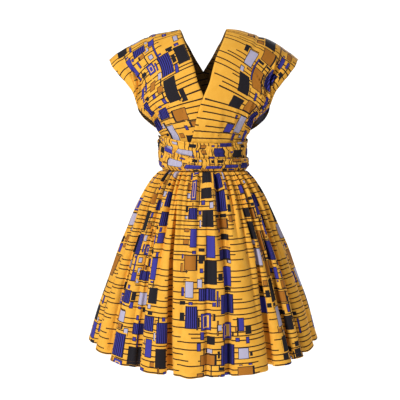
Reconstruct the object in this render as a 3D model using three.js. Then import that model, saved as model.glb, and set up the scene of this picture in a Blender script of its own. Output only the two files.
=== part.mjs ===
// A knee-length multiway wrap dress in printed cotton, in the hollow shape it has when worn.
//
// A gathered skirt hangs from an elasticated waistband. Two wide straps are sewn to the front of
// the waistband. They cross on the bust, pass over the shoulders as cap sleeves, cross again on the
// back, are wound round the waist as ruched wraps, and are tied in a knot at the centre back.
//
// Millimetres, +Z up. The wearer faces -Y, so the wearer's left is +X. The origin is the middle of
// the waist, level with the seam between the waistband and the skirt.

import * as THREE from "three";

const { clamp, lerp, smoothstep } = THREE.MathUtils;

// ---------------------------------------------------------------- driving dimensions

const WALL = 1.4; // a ply of cotton with its turned edges
const SEAM_GAP = 0.3; // between two pieces that are sewn edge to edge

// Half sizes of the worn dress over the waist, by the rise of the cloth. Up to the foot of the
// shoulders a rise is a height. From there the cloth turns over, and tops the shoulder at its end.
const FORM = [
  { rise: 0, frontWidth: 116.5, backWidth: 116.5, frontDepth: 88, backDepth: 82 },
  { rise: 60, frontWidth: 117, backWidth: 117, frontDepth: 92, backDepth: 83 },
  { rise: 100, frontWidth: 121, backWidth: 123, frontDepth: 102, backDepth: 88 },
  { rise: 120, frontWidth: 133, backWidth: 139, frontDepth: 109, backDepth: 92 },
  { rise: 137, frontWidth: 147, backWidth: 165, frontDepth: 115, backDepth: 95 },
  { rise: 170, frontWidth: 190, backWidth: 194, frontDepth: 122, backDepth: 100 },
  { rise: 200, frontWidth: 222, backWidth: 224, frontDepth: 124, backDepth: 103 },
  { rise: 251, frontWidth: 257, backWidth: 258, frontDepth: 124, backDepth: 105 },
  { rise: 330, frontWidth: 305, backWidth: 305, frontDepth: 120, backDepth: 107 },
  { rise: 440, frontWidth: 330, backWidth: 330, frontDepth: 118, backDepth: 108 },
];
const SHOULDER_FOOT = 200;
const SHOULDER_TOP = 440;
const NECK = { x: 40, height: 399 }; // the top of a shoulder, beside the neck
const SLEEVE = { x: 272, drop: 86, slope: 2.2 }; // how far the shoulder line falls to the sleeve's hem

// How far out from the form each stretch of strap lies, so that it clears those under it.
const LIFT = { rightFront: 0, leftFront: 2.1, rightBack: 5, leftBack: 9 };
const LIFT_CHANGE = { from: 340, to: 560 }; // rises over which a strap changes from one to the other

// The left strap's edges, from the waistband up the front. The inner edge faces the neck.
const STRAP_FOOT = [
  { innerTurn: -22, innerHeight: 60.3, outerTurn: 94, outerHeight: 60.3 },
  { innerTurn: -16, innerHeight: 90, outerTurn: 94, outerHeight: 85 },
  { innerTurn: -7, innerHeight: 148, outerTurn: 92, outerHeight: 112 },
];
const STRAP_FRONT = [
  { innerX: -1, innerHeight: 206, outerX: 140, outerHeight: 137 },
  { innerX: 15, innerHeight: 245, outerX: 153, outerHeight: 150 },
  { innerX: 24, innerHeight: 280, outerX: 177, outerHeight: 172 },
  { innerX: 34, innerHeight: 314, outerX: 190, outerHeight: 199 },
  { innerX: 45, innerHeight: 341, outerX: 199, outerHeight: 223 },
  { innerX: 55, innerHeight: 366, outerX: 218, outerHeight: 248 },
  { innerX: 62, innerHeight: 386, outerX: 240, outerHeight: 274 },
  { innerX: 67, innerHeight: 399, outerX: 272, outerHeight: 313 },
];
// Down the back, where it crosses to the wearer's right side.
const STRAP_BACK = [
  { innerX: 55, innerHeight: 378, outerX: 258, outerHeight: 294 },
  { innerX: 41, innerHeight: 355, outerX: 240, outerHeight: 271 },
  { innerX: 24, innerHeight: 325, outerX: 216, outerHeight: 245 },
  { innerX: 1, innerHeight: 289, outerX: 199, outerHeight: 220 },
  { innerX: -18, innerHeight: 258, outerX: 191, outerHeight: 199 },
  { innerX: -38, innerHeight: 222, outerX: 184, outerHeight: 174 },
  { innerX: -60, innerHeight: 184, outerX: 172, outerHeight: 155 },
  { innerX: -80, innerHeight: 152, outerX: 153, outerHeight: 136 },
  { innerX: -100, innerHeight: 125, outerX: 129, outerHeight: 119 },
  { innerX: -116, innerHeight: 104, outerX: 98, outerHeight: 98 },
];
// Turns here are counted from the centre back, past the wearer's right side to the front.
const STRAP_TO_WAIST = [
  { innerTurn: -80, innerHeight: 95, outerTurn: 20, outerHeight: 72 },
  { innerTurn: -86, innerHeight: 92, outerTurn: -15, outerHeight: 50 },
  { innerTurn: -96, innerHeight: 89, outerTurn: -45, outerHeight: 32 },
];
// Round the waist and on to the knot: the left strap's end over the right strap's.
const WRAP_OVER = [
  { innerTurn: -106, innerHeight: 85, outerTurn: -80, outerHeight: 19 },
  { innerTurn: -116, innerHeight: 76, outerTurn: -105, outerHeight: 9 },
  { innerTurn: -131, innerHeight: 65, outerTurn: -128, outerHeight: 3 },
  { innerTurn: -150, innerHeight: 48, outerTurn: -150, outerHeight: 1.5 },
  { innerTurn: -172, innerHeight: 38, outerTurn: -172, outerHeight: 1.5 },
  { innerTurn: -203, innerHeight: 36, outerTurn: -203, outerHeight: 1.5 },
  { innerTurn: -237, innerHeight: 36, outerTurn: -237, outerHeight: 1.5 },
  { innerTurn: -270, innerHeight: 37, outerTurn: -270, outerHeight: 2 },
  { innerTurn: -300, innerHeight: 42, outerTurn: -300, outerHeight: 7 },
  { innerTurn: -325, innerHeight: 50, outerTurn: -325, outerHeight: 15 },
  { innerTurn: -342, innerHeight: 55, outerTurn: -342, outerHeight: 21 },
  { innerTurn: -356, innerHeight: 56, outerTurn: -356, outerHeight: 25 },
];
const WRAP_UNDER = [
  { innerTurn: -106, innerHeight: 85, outerTurn: -80, outerHeight: 31 },
  { innerTurn: -120, innerHeight: 84, outerTurn: -108, outerHeight: 34 },
  { innerTurn: -145, innerHeight: 82, outerTurn: -140, outerHeight: 33 },
  { innerTurn: -168, innerHeight: 81, outerTurn: -168, outerHeight: 33 },
  { innerTurn: -192, innerHeight: 83, outerTurn: -192, outerHeight: 35 },
  { innerTurn: -216, innerHeight: 90, outerTurn: -216, outerHeight: 42 },
  { innerTurn: -240, innerHeight: 100, outerTurn: -240, outerHeight: 51 },
  { innerTurn: -262, innerHeight: 105, outerTurn: -262, outerHeight: 57 },
  { innerTurn: -285, innerHeight: 97, outerTurn: -285, outerHeight: 54 },
  { innerTurn: -308, innerHeight: 84, outerTurn: -308, outerHeight: 45 },
  { innerTurn: -332, innerHeight: 66, outerTurn: -332, outerHeight: 32 },
  { innerTurn: -356, innerHeight: 56, outerTurn: -356, outerHeight: 25 },
];

// Soft troughs along a strap. `across` runs from 0 at the inner edge to 1 at the outer edge, and
// `from` and `to` count the rows of the tables above, from the waistband on.
const STRAP_FOLDS = [
  { across: 0.77, spread: 0.07, depth: 13, from: 4.5, to: 10.5 },
  { across: 0.78, spread: 0.08, depth: 10, from: 9.5, to: 15.5 },
  { across: 0.9, spread: 0.05, depth: 5, from: 1, to: 4.6 },
  { across: 0.72, spread: 0.06, depth: 4, from: 0.8, to: 4.2 },
];
const STRAP_GRID = { along: 40, across: 13 };

// The wraps' fine crosswise puckers, and the roll of their bunched width.
const WRAP_GRID = { along: 72, across: 4, alongPerPucker: 4 };
const WRAP_RELIEF = {
  over: { pucker: 1.4, roll: 2.2 },
  under: { pucker: 0.8, roll: 0.4 },
};
const RELIEF_FADES = 5; // rows of the grid over which the relief starts and ends
const EVEN_SAMPLES = 300; // along a stretch of strap, to space its rows by

const WAISTBAND = { height: 60, puckers: 26, relief: 1.1, columnsPerPucker: 3, rows: 2 };

// The crests of the skirt's folds, by the share of the way down from waist to hem.
const SKIRT = [
  { fall: 0, width: 118.5 },
  { fall: 0.02, width: 134 },
  { fall: 0.06, width: 151 },
  { fall: 0.13, width: 173 },
  { fall: 0.22, width: 195 },
  { fall: 0.345, width: 223 },
  { fall: 0.45, width: 246 },
  { fall: 0.56, width: 265 },
  { fall: 0.77, width: 300 },
  { fall: 1, width: 333 },
];
const WAIST_DEPTH = { front: 90, back: 84 };
const HEM_DEPTH = 290;
// From the waist seam straight down to the hem, which sweeps from the sides to the middle.
const DROP = { side: 487, middle: 540, sweep: 1.4 };
const SKIRT_ROWS = [1, 0.82, 0.63, 0.45, 0.3, 0.18, 0.1, 0.045, 0.015, 0]; // falls, hem first

// The valleys between the skirt's flutes, going round from the wearer's right side. `turn` is where
// a valley meets the hem, `lean` how far round it starts from there at the waist, `depth` how deep
// it is at the hem, `begins` the fall at which it starts, and `setBack` how far the crest of the
// flute after it lies inside the skirt's outline at the hem.
const VALLEYS = [
  { turn: -97, lean: -1, depth: 34, begins: 0.1, setBack: 0 },
  { turn: -73, lean: -2, depth: 36, begins: 0.12, setBack: 2 },
  { turn: -55.5, lean: -3, depth: 34, begins: 0.1, setBack: 0 },
  { turn: -35, lean: -7, depth: 28, begins: 0.08, setBack: 0 },
  { turn: -17.5, lean: -9, depth: 50, begins: 0.06, setBack: 0 },
  { turn: 1.5, lean: 3, depth: 23, begins: 0.08, setBack: 14 },
  { turn: 12, lean: 6, depth: 30, begins: 0.06, setBack: 0 },
  { turn: 36.5, lean: 4, depth: 40, begins: 0.1, setBack: 0 },
  { turn: 50, lean: 1, depth: 34, begins: 0.14, setBack: 0 },
  { turn: 60, lean: 0, depth: 32, begins: 0.14, setBack: 3 },
  { turn: 78, lean: -1, depth: 28, begins: 0.2, setBack: 0 },
  { turn: 99, lean: 1, depth: 38, begins: 0.1, setBack: 0 },
  { turn: 119, lean: 2, depth: 30, begins: 0.12, setBack: 4 },
  { turn: 135, lean: 4, depth: 40, begins: 0.08, setBack: 0 },
  { turn: 157, lean: 3, depth: 26, begins: 0.1, setBack: 0 },
  { turn: 174, lean: 2, depth: 36, begins: 0.12, setBack: 8 },
  { turn: 188, lean: -2, depth: 30, begins: 0.1, setBack: 0 },
  { turn: 211, lean: -4, depth: 44, begins: 0.07, setBack: 0 },
  { turn: 229, lean: -3, depth: 28, begins: 0.12, setBack: 3 },
  { turn: 244, lean: -2, depth: 34, begins: 0.1, setBack: 0 },
];
const FLUTE_ROUNDING = 0.9; // under 1 a flute is blunter than a half sine
const FLUTE_PINCH = 0.35; // how far a flute's cloth is drawn in towards its valleys
const DEGREES_PER_COLUMN = 2.2;
const GATHER = { depth: 2.6, columns: 4, ends: 0.13 };

const KNOT = { width: 27, height: 23, thick: 14, seat: 5, level: 44, grooves: 3, groove: 0.1 };
const TAIL = { length: 215, width: 17, bottomWidth: 50, slant: 22, tuck: 0.2, rows: 9, columns: 4, clear: 7 };
const TAILS = [
  { name: "tail_left", topTurn: 173.5, bottomTurn: 161 },
  { name: "tail_right", topTurn: -173.5, bottomTurn: -163 },
];

const COTTON = { color: 0xeea424, roughness: 0.82, metalness: 0 };

// ---------------------------------------------------------------- curves and walls

// A column's value at a place along a table's key column, on a smooth curve through its rows.
function valueAt(rows, key, column, at) {
  const last = rows.length - 1;
  const place = clamp(at, rows[0][key], rows[last][key]);
  const i = clamp(rows.findIndex((row) => row[key] >= place) - 1, 0, last - 1);
  const span = rows[i + 1][key] - rows[i][key];
  const t = (place - rows[i][key]) / span;
  const tangent = (j) => {
    const before = rows[Math.max(j - 1, 0)];
    const after = rows[Math.min(j + 1, last)];
    return (span * (after[column] - before[column])) / (after[key] - before[key]);
  };
  const start = rows[i][column];
  const change = rows[i + 1][column] - start;
  const bend = t * (1 - t) * ((1 - t) * (tangent(i) - change) - t * (tangent(i + 1) - change));
  return start + change * t + bend;
}

function sine(degrees) {
  return Math.sin(THREE.MathUtils.degToRad(degrees));
}

function cosine(degrees) {
  return Math.cos(THREE.MathUtils.degToRad(degrees));
}

// Unit normals at a grid of points: next column less last column, crossed with next row less last.
function normalsOf(points, around) {
  return points.map((row, r) =>
    row.map((_, c) => {
      const before = around ? (c + row.length - 1) % row.length : Math.max(c - 1, 0);
      const after = around ? (c + 1) % row.length : Math.min(c + 1, row.length - 1);
      const over = points[Math.min(r + 1, points.length - 1)][c];
      const under = points[Math.max(r - 1, 0)][c];
      const across = row[after].clone().sub(row[before]);
      return across.cross(over.clone().sub(under)).normalize();
    }),
  );
}

// One ply of cloth: a closed wall whose outer face goes through the points, WALL thick.
function clothWall(name, points, normals, around = false) {
  const rows = points.length;
  const columns = points[0].length;
  const outer = points.flat();
  const inner = outer.map((p, i) => p.clone().addScaledVector(normals.flat()[i], -WALL));
  const geometry = new THREE.BufferGeometry().setFromPoints([...outer, ...inner]);
  const at = (r, c) => r * columns + (c % columns);
  const index = [];
  const quad = (a, b, c, d) => index.push(a, b, c, a, c, d);
  const lastColumn = around ? columns : columns - 1;
  for (let r = 0; r < rows - 1; r++) {
    for (let c = 0; c < lastColumn; c++) {
      const corners = [at(r, c), at(r, c + 1), at(r + 1, c + 1), at(r + 1, c)];
      quad(...corners);
      quad(...corners.reverse().map((i) => i + outer.length));
    }
  }
  const rim = (a, b) => quad(b, a, a + outer.length, b + outer.length);
  for (let c = 0; c < lastColumn; c++) {
    rim(at(0, c), at(0, c + 1));
    rim(at(rows - 1, c + 1), at(rows - 1, c));
  }
  for (let r = 0; !around && r < rows - 1; r++) {
    rim(at(r + 1, 0), at(r, 0));
    rim(at(r, columns - 1), at(r + 1, columns - 1));
  }
  geometry.setIndex(index);
  return namedMesh(name, geometry);
}

function namedMesh(name, geometry) {
  geometry.computeVertexNormals();
  const mesh = new THREE.Mesh(geometry, new THREE.MeshStandardMaterial(COTTON));
  mesh.name = name;
  return mesh;
}

// Evenly spaced numbers from first to last.
function steps(first, last, count) {
  return Array.from({ length: count + 1 }, (_, i) => lerp(first, last, i / count));
}

// ---------------------------------------------------------------- the form over the waist

function shoulderHeight(x) {
  const out = Math.max(Math.abs(x) - NECK.x, 0) / (SLEEVE.x - NECK.x);
  return NECK.height - SLEEVE.drop * out ** SLEEVE.slope;
}

// A rise past the top of the shoulder goes down the back, and the turn is then counted from the
// centre back, positive to the wearer's left as it is on the front.
function formPoint(turn, rise) {
  const isBack = rise > SHOULDER_TOP;
  const level = isBack ? 2 * SHOULDER_TOP - rise : rise;
  const over = (rise - SHOULDER_FOOT) / (2 * (SHOULDER_TOP - SHOULDER_FOOT));
  const tilt = 180 * clamp(over, 0, 1);
  const ahead = cosine(tilt) * cosine(turn);
  const x = valueAt(FORM, "rise", isBack ? "backWidth" : "frontWidth", level) * sine(turn);
  const y = -ahead * valueAt(FORM, "rise", ahead > 0 ? "frontDepth" : "backDepth", level);
  const upper = SHOULDER_FOOT + (shoulderHeight(x) - SHOULDER_FOOT) * sine(tilt);
  return new THREE.Vector3(x, y, level < SHOULDER_FOOT ? level : upper);
}

function formNormal(turn, rise) {
  const across = formPoint(turn + 0.5, rise).sub(formPoint(turn - 0.5, rise));
  const along = formPoint(turn, rise + 1).sub(formPoint(turn, rise - 1));
  return across.cross(along).normalize();
}

// The turn and rise of a place given by its distance from the middle and its height.
function placeOnForm(x, height, isBack) {
  const share = (height - SHOULDER_FOOT) / (shoulderHeight(x) - SHOULDER_FOOT);
  const tilt = (2 * Math.asin(clamp(share, 0, 1))) / Math.PI;
  const rise = height < SHOULDER_FOOT ? height : lerp(SHOULDER_FOOT, SHOULDER_TOP, tilt);
  const width = valueAt(FORM, "rise", isBack ? "backWidth" : "frontWidth", rise);
  const turn = THREE.MathUtils.radToDeg(Math.asin(clamp(x / width, -1, 1)));
  return { turn, rise: isBack ? 2 * SHOULDER_TOP - rise : rise };
}

// ---------------------------------------------------------------- straps and wraps

function rowsByPlace(table, isBack) {
  return table.map((row) => {
    const inner = placeOnForm(row.innerX, row.innerHeight, isBack);
    const outer = placeOnForm(row.outerX, row.outerHeight, isBack);
    return {
      innerTurn: inner.turn,
      innerRise: inner.rise,
      outerTurn: outer.turn,
      outerRise: outer.rise,
    };
  });
}

function rowsByTurn(table, isBack) {
  const riseOf = (height) => (isBack ? 2 * SHOULDER_TOP - height : height);
  return table.map((row) => ({
    innerTurn: row.innerTurn,
    innerRise: riseOf(row.innerHeight),
    outerTurn: row.outerTurn,
    outerRise: riseOf(row.outerHeight),
  }));
}

// A strap from the waistband to the knot, as one length of cloth. Its side is 1 for the wearer's
// left strap and -1 for the right.
function strapPath(side, frontLift, backLift, wrap) {
  const rows = [
    ...rowsByTurn(STRAP_FOOT, false),
    ...rowsByPlace(STRAP_FRONT, false),
    ...rowsByPlace(STRAP_BACK, true),
    ...rowsByTurn(STRAP_TO_WAIST, true),
    ...rowsByTurn(wrap, true),
  ].map((row, number) => ({ number, ...row }));
  return { side, rows, frontLift, backLift };
}

function strapFold(along, across) {
  return STRAP_FOLDS.reduce((depth, fold) => {
    const away = (across - fold.across) / fold.spread;
    const through = clamp((along - fold.from) / (fold.to - fold.from), 0, 1);
    return depth - fold.depth * Math.exp(-away * away) * Math.sin(Math.PI * through) ** 2;
  }, 0);
}

// A point of the outer face, where relief is how far it stands out of a strap pulled smooth.
function strapPoint(path, along, across, relief) {
  const column = (name) => valueAt(path.rows, "number", name, along);
  const turn = path.side * lerp(column("innerTurn"), column("outerTurn"), across);
  const rise = lerp(column("innerRise"), column("outerRise"), across);
  const change = smoothstep(rise, LIFT_CHANGE.from, LIFT_CHANGE.to);
  const lift = lerp(path.frontLift, path.backLift, change);
  return formPoint(turn, rise).addScaledVector(formNormal(turn, rise), lift + WALL + relief);
}

// Places along a strap, from one row of its table to another, at even steps of its longer edge.
function evenPlaces(path, from, to, count) {
  const fine = steps(from, to, EVEN_SAMPLES);
  const edges = fine.map((along) => [0, 1].map((across) => strapPoint(path, along, across, 0)));
  const gone = [0];
  for (let i = 1; i < fine.length; i++) {
    const moves = edges[i].map((place, edge) => place.distanceTo(edges[i - 1][edge]));
    gone.push(gone[i - 1] + Math.max(...moves));
  }
  return steps(0, gone[EVEN_SAMPLES], count).map((length) => {
    const i = clamp(gone.findIndex((sum) => sum >= length), 1, EVEN_SAMPLES);
    return lerp(fine[i - 1], fine[i], (length - gone[i - 1]) / (gone[i] - gone[i - 1]));
  });
}

// The stretch of a strap between two rows of its table. The columns run towards +X on the front.
function strapStretch(name, path, from, to, grid, relief) {
  const across = steps(0, 1, grid.across);
  if (path.side < 0) across.reverse();
  const points = evenPlaces(path, from, to, grid.along).map((along, r) =>
    across.map((share) => strapPoint(path, along, share, relief(along, share, r))),
  );
  return clothWall(name, points, normalsOf(points, false));
}

function wrapRelief({ pucker, roll }) {
  return (along, across, row) => {
    const ends = Math.min(row, WRAP_GRID.along - row) / RELIEF_FADES;
    const wave = 0.5 + 0.5 * Math.sin((2 * Math.PI * row) / WRAP_GRID.alongPerPucker);
    const uneven = 0.7 + 0.3 * Math.sin(1.7 * row + 5 * across);
    const size = pucker * wave * uneven + roll * Math.sin(Math.PI * across) ** 0.7;
    return clamp(ends, 0, 1) * size;
  };
}

function makeStraps() {
  const waistRow = STRAP_FOOT.length + STRAP_FRONT.length + STRAP_BACK.length + STRAP_TO_WAIST.length;
  const lastRow = waistRow + WRAP_OVER.length - 1;
  const cut = 0.01; // rows of the table: half of the seam gap where strap and wrap meet
  const left = strapPath(1, LIFT.leftFront, LIFT.leftBack, WRAP_OVER);
  const right = strapPath(-1, LIFT.rightFront, LIFT.rightBack, WRAP_UNDER);
  return [
    strapStretch("strap_left", left, 0, waistRow - cut, STRAP_GRID, strapFold),
    strapStretch("strap_right", right, 0, waistRow - cut, STRAP_GRID, strapFold),
    strapStretch("wrap_left", left, waistRow + cut, lastRow, WRAP_GRID, wrapRelief(WRAP_RELIEF.over)),
    strapStretch("wrap_right", right, waistRow + cut, lastRow, WRAP_GRID, wrapRelief(WRAP_RELIEF.under)),
  ];
}

// ---------------------------------------------------------------- waistband

// A casing pulled in by its elastic, puckered all round.
function makeWaistband() {
  const columns = WAISTBAND.puckers * WAISTBAND.columnsPerPucker;
  const points = steps(0, WAISTBAND.height, WAISTBAND.rows).map((height) =>
    Array.from({ length: columns }, (_, c) => {
      const turn = (360 * c) / columns;
      const wave = 0.5 + 0.5 * cosine(turn * WAISTBAND.puckers);
      return formPoint(turn, height).addScaledVector(
        formNormal(turn, height),
        WALL + WAISTBAND.relief * wave,
      );
    }),
  );
  return clothWall("waistband", points, normalsOf(points, true), true);
}

// ---------------------------------------------------------------- skirt

function crestDepth(turn, width) {
  const waistDepth = cosine(turn) > 0 ? WAIST_DEPTH.front : WAIST_DEPTH.back;
  const hem = SKIRT[SKIRT.length - 1].width;
  return lerp(waistDepth, HEM_DEPTH, (width - SKIRT[0].width) / (hem - SKIRT[0].width));
}

function skirtDrop(turn) {
  return lerp(DROP.side, DROP.middle, Math.abs(cosine(turn)) ** DROP.sweep);
}

// A point of the skirt's outer face, a share u of the way from one valley to the next.
function skirtPoint(valley, next, u, fall, gather) {
  const turnOf = (row) => row.turn + row.lean * (1 - fall);
  const drawn = u - (FLUTE_PINCH * fall * Math.sin(2 * Math.PI * u)) / (2 * Math.PI);
  const turn = lerp(turnOf(valley), turnOf(next), drawn);
  const depthOf = (row) => row.depth * smoothstep(fall, row.begins - 0.1, 1.3);
  const hollow = 1 - Math.abs(Math.sin(Math.PI * u)) ** FLUTE_ROUNDING;
  const inset = lerp(depthOf(valley), depthOf(next), u) * hollow + valley.setBack * fall * (1 - hollow);
  const width = valueAt(SKIRT, "fall", "width", fall);
  const out = gather * GATHER.depth * (1 - smoothstep(fall, 0, GATHER.ends)) - inset;
  return new THREE.Vector3(
    (width + out) * sine(turn),
    -(crestDepth(turn, width) + out) * cosine(turn),
    -SEAM_GAP - fall * skirtDrop(turn),
  );
}

// The columns of the skirt's grid all round, each at its share of the way across a flute.
function skirtColumns() {
  return VALLEYS.flatMap((valley, i) => {
    const isLast = i === VALLEYS.length - 1;
    const first = VALLEYS[0];
    const next = isLast ? { ...first, turn: first.turn + 360 } : VALLEYS[i + 1];
    const count = 2 * Math.round((next.turn - valley.turn) / DEGREES_PER_COLUMN / 2);
    return Array.from({ length: count }, (_, c) => ({ valley, next, u: c / count }));
  }).map((column, number) => ({
    ...column,
    hemTurn: lerp(column.valley.turn, column.next.turn, column.u),
    gather: Math.sin((2 * Math.PI * number) / GATHER.columns),
  }));
}

function nearestColumn(columns, turn) {
  const away = columns.map((column) => Math.abs(column.hemTurn - turn));
  return away.indexOf(Math.min(...away));
}

// Two panels, each one width of the cloth, sewn at the sides and gathered to the waistband.
function makeSkirt() {
  const columns = skirtColumns();
  const points = SKIRT_ROWS.map((fall) =>
    columns.map(({ valley, next, u, gather }) => skirtPoint(valley, next, u, fall, gather)),
  );
  const normals = normalsOf(points, true);
  const rightSeam = nearestColumn(columns, -90);
  const leftSeam = nearestColumn(columns, 90);
  const panel = (name, first, last) => {
    const slice = (grid) =>
      grid.map((row) =>
        Array.from({ length: last - first + 1 }, (_, c) => row[(first + c) % row.length].clone()),
      );
    const cloth = slice(points);
    points.forEach((row, r) => {
      const acrossSeam = (c) => {
        const after = row[(c + 1) % row.length].clone();
        return after.sub(row[(c - 1 + row.length) % row.length]).setLength(SEAM_GAP / 2);
      };
      cloth[r][0].add(acrossSeam(first));
      cloth[r][last - first].sub(acrossSeam(last % row.length));
    });
    return clothWall(name, cloth, slice(normals));
  };
  return [
    panel("skirt_front", rightSeam, leftSeam),
    panel("skirt_back", leftSeam, rightSeam + columns.length),
  ];
}

// ---------------------------------------------------------------- knot and tails

// The y of the outer face of the wraps at the centre back, where the knot rests on them.
function knotSeat() {
  return formPoint(0, 2 * SHOULDER_TOP - KNOT.level).y + LIFT.leftBack + WALL + SEAM_GAP;
}

function makeKnot() {
  const geometry = new THREE.SphereGeometry(1, 18, 12);
  const places = geometry.getAttribute("position");
  for (let i = 0; i < places.count; i++) {
    const p = new THREE.Vector3().fromBufferAttribute(places, i);
    const isOut = p.y > 0;
    const groove = isOut ? KNOT.groove * Math.cos(KNOT.grooves * Math.PI * (p.x + 0.5 * p.z)) : 0;
    places.setXYZ(
      i,
      p.x * KNOT.width,
      p.y * (isOut ? KNOT.thick * (1 + groove) : KNOT.seat),
      p.z * KNOT.height,
    );
  }
  geometry.deleteAttribute("uv");
  const knot = namedMesh("knot", geometry);
  knot.position.set(0, knotSeat() + KNOT.seat, KNOT.level);
  return knot;
}

// How far out a tail lies at a depth under the waist: on the crests of the skirt, or under the knot.
function tailOut(drop) {
  const fall = clamp(drop / DROP.middle, 0, 1);
  const crest = crestDepth(180, valueAt(SKIRT, "fall", "width", fall)) + GATHER.depth;
  return Math.max(crest + TAIL.clear, knotSeat() + TAIL.clear);
}

function makeTail({ name, topTurn, bottomTurn }) {
  const top = KNOT.level - KNOT.height + TAIL.tuck;
  const side = Math.sign(topTurn);
  const points = steps(1, 0, TAIL.rows).map((fall) =>
    steps(0.5, -0.5, TAIL.columns).map((share) => {
      const halfWidths = side * share;
      const width = lerp(TAIL.width, TAIL.bottomWidth, Math.min(2.5 * fall, 1));
      const height = top - fall * (TAIL.length + TAIL.slant * halfWidths);
      const out = tailOut(-height);
      const turn = lerp(topTurn, bottomTurn, fall);
      return new THREE.Vector3(out * sine(turn) + share * width, -out * cosine(turn), height);
    }),
  );
  return clothWall(name, points, normalsOf(points, false));
}

// ---------------------------------------------------------------- the dress

const dress = new THREE.Group();
dress.add(...makeSkirt(), makeWaistband(), ...makeStraps(), makeKnot(), ...TAILS.map(makeTail));

export default dress;
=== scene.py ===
"""A multiway wrap dress of printed cotton in its worn shape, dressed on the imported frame.

The cloth follows the frame's form: the same tables of sizes as the solids have, on a finer grid,
with the gathers, puckers and soft folds that the solids leave out. Tables and lengths are in
millimetres, and turn into metres where a mesh is made. +Z is up and the dress faces -Y.
"""

import math
from functools import partialmethod
from types import SimpleNamespace as Table

import bpy
import numpy as np
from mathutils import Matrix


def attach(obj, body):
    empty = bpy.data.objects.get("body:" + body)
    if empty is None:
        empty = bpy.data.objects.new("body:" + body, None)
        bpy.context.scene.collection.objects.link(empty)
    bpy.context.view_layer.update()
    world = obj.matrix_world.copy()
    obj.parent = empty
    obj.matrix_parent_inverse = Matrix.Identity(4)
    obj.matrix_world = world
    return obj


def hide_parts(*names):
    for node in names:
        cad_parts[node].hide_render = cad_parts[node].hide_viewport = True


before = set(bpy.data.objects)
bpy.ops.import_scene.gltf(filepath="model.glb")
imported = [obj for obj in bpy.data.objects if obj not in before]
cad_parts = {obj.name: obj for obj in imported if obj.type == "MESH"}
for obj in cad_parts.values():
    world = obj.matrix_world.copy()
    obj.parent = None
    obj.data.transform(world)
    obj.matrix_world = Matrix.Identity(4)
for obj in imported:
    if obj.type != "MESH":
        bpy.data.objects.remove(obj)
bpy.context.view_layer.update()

MM = 0.001
ROOT = "root"
CLOTH_MAP = "cloth"  # the UV map that holds a point's place on the flat cloth, in metres

# --- sizes shared with the solids

FORM_RISE = (0, 60, 100, 120, 137, 170, 200, 251, 330, 440)
FORM = {
    "front_width": (116.5, 117, 121, 133, 147, 190, 222, 257, 305, 330),
    "back_width": (116.5, 117, 123, 139, 165, 194, 224, 258, 305, 330),
    "front_depth": (88, 92, 102, 109, 115, 122, 124, 124, 120, 118),
    "back_depth": (82, 83, 88, 92, 95, 100, 103, 105, 107, 108),
}
SHOULDER_FOOT = 200
SHOULDER_TOP = 440
NECK_X, NECK_HEIGHT = 40, 399
SLEEVE_X, SLEEVE_DROP, SLEEVE_SLOPE = 272, 86, 2.2

WALL = 1.4  # the solids' ply, whose outer face the cloth follows
PLY = 0.7  # the cloth's own thickness with its turned edges

LIFT = Table(right=(0, 5), left=(2.1, 9))  # of each strap off the form, in front and behind
LIFT_CHANGE = (340, 560)  # the rises between which one turns into the other

# inner turn, inner height, outer turn, outer height
STRAP_FOOT = ((-22, 60.3, 94, 60.3), (-16, 90, 94, 85), (-7, 148, 92, 112))
# inner x, inner height, outer x, outer height
STRAP_FRONT = (
    (-1, 206, 140, 137),
    (15, 245, 153, 150),
    (24, 280, 177, 172),
    (34, 314, 190, 199),
    (45, 341, 199, 223),
    (55, 366, 218, 248),
    (62, 386, 240, 274),
    (67, 399, 272, 313),
)
STRAP_BACK = (
    (55, 378, 258, 294),
    (41, 355, 240, 271),
    (24, 325, 216, 245),
    (1, 289, 199, 220),
    (-18, 258, 191, 199),
    (-38, 222, 184, 174),
    (-60, 184, 172, 155),
    (-80, 152, 153, 136),
    (-100, 125, 129, 119),
    (-116, 104, 98, 98),
)
STRAP_TO_WAIST = ((-80, 95, 20, 72), (-86, 92, -15, 50), (-96, 89, -45, 32))
WRAP_OVER = (
    (-106, 85, -80, 19),
    (-116, 76, -105, 9),
    (-131, 65, -128, 3),
    (-150, 48, -150, 1.5),
    (-172, 38, -172, 1.5),
    (-203, 36, -203, 1.5),
    (-237, 36, -237, 1.5),
    (-270, 37, -270, 2),
    (-300, 42, -300, 7),
    (-325, 50, -325, 15),
    (-342, 55, -342, 21),
    (-356, 56, -356, 25),
)
WRAP_UNDER = (
    (-106, 85, -80, 31),
    (-120, 84, -108, 34),
    (-145, 82, -140, 33),
    (-168, 81, -168, 33),
    (-192, 83, -192, 35),
    (-216, 90, -216, 42),
    (-240, 100, -240, 51),
    (-262, 105, -262, 57),
    (-285, 97, -285, 54),
    (-308, 84, -308, 45),
    (-332, 66, -332, 32),
    (-356, 56, -356, 25),
)
# across, spread, depth, from row, to row
STRAP_FOLDS = (
    (0.77, 0.07, 13, 4.5, 10.5),
    (0.78, 0.08, 10, 9.5, 15.5),
    (0.9, 0.05, 5, 1, 4.6),
    (0.72, 0.06, 4, 0.8, 4.2),
)

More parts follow.
